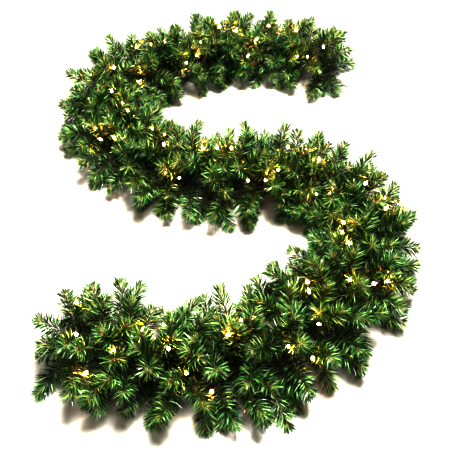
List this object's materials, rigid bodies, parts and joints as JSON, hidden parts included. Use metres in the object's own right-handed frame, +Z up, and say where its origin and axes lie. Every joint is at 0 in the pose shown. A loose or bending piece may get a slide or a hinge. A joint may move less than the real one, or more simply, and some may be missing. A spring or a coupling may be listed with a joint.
{
  "type": "lit artificial pine garland",
  "caption": "Artificial pine garland with warm white lamps, laid in an S: a steel rope carries sprays of bottle-brush pine tips and has a wire eye at each end.",
  "frame": {"origin": "on the surface that the garland lies on, under the middle of its bounding box", "axes": "+Z up from that surface, +Y away from the viewer of the picture, +X to the viewer's right; the S runs from the right at the back to the left at the front"},
  "size_m": [0.9772, 1.4345, 0.1656],
  "materials": {
    "coated_wire": "steel wire rope with a dark green coat, twisted, satin",
    "needle_film": "cut green film needles, mixed deep and mid green with lighter ends, semi-gloss",
    "stem_wire": "twisted brown-green wire stems, pale yellow-green at the ends, satin",
    "cord_plastic": "dark green cord and lamp sockets, satin",
    "lamp_glass": "clear mini lamps, lit warm white"
  },
  "bodies": {
    "root": {"rope": "coated_wire", "far_eye": "coated_wire", "near_eye": "coated_wire", "light_string": "cord_plastic", "far_connector": "cord_plastic", "near_connector": "cord_plastic", "spray_01": "needle_film", "spray_02": "needle_film", "spray_03": "needle_film", "spray_04": "needle_film", "spray_05": "needle_film", "spray_06": "needle_film", "spray_07": "needle_film", "spray_08": "needle_film", "spray_09": "needle_film", "spray_10": "needle_film", "spray_11": "needle_film", "spray_12": "needle_film", "spray_13": "needle_film", "spray_14": "needle_film", "spray_15": "needle_film", "spray_16": "needle_film", "spray_17": "needle_film", "spray_18": "needle_film", "spray_19": "needle_film", "spray_20": "needle_film", "spray_21": "needle_film", "spray_22": "needle_film", "spray_23": "needle_film", "spray_24": "needle_film", "spray_25": "needle_film", "spray_26": "needle_film", "spray_27": "needle_film", "spray_28": "needle_film", "spray_29": "needle_film", "spray_30": "needle_film", "spray_31": "needle_film", "spray_32": "needle_film", "spray_33": "needle_film", "spray_34": "needle_film", "spray_35": "needle_film", "spray_36": "needle_film", "spray_37": "needle_film", "spray_38": "needle_film", "spray_39": "needle_film", "spray_40": "needle_film", "spray_41": "needle_film", "spray_42": "needle_film", "spray_43": "needle_film", "spray_44": "needle_film", "spray_45": "needle_film", "spray_46": "needle_film"}
  },
  "joints": []
}
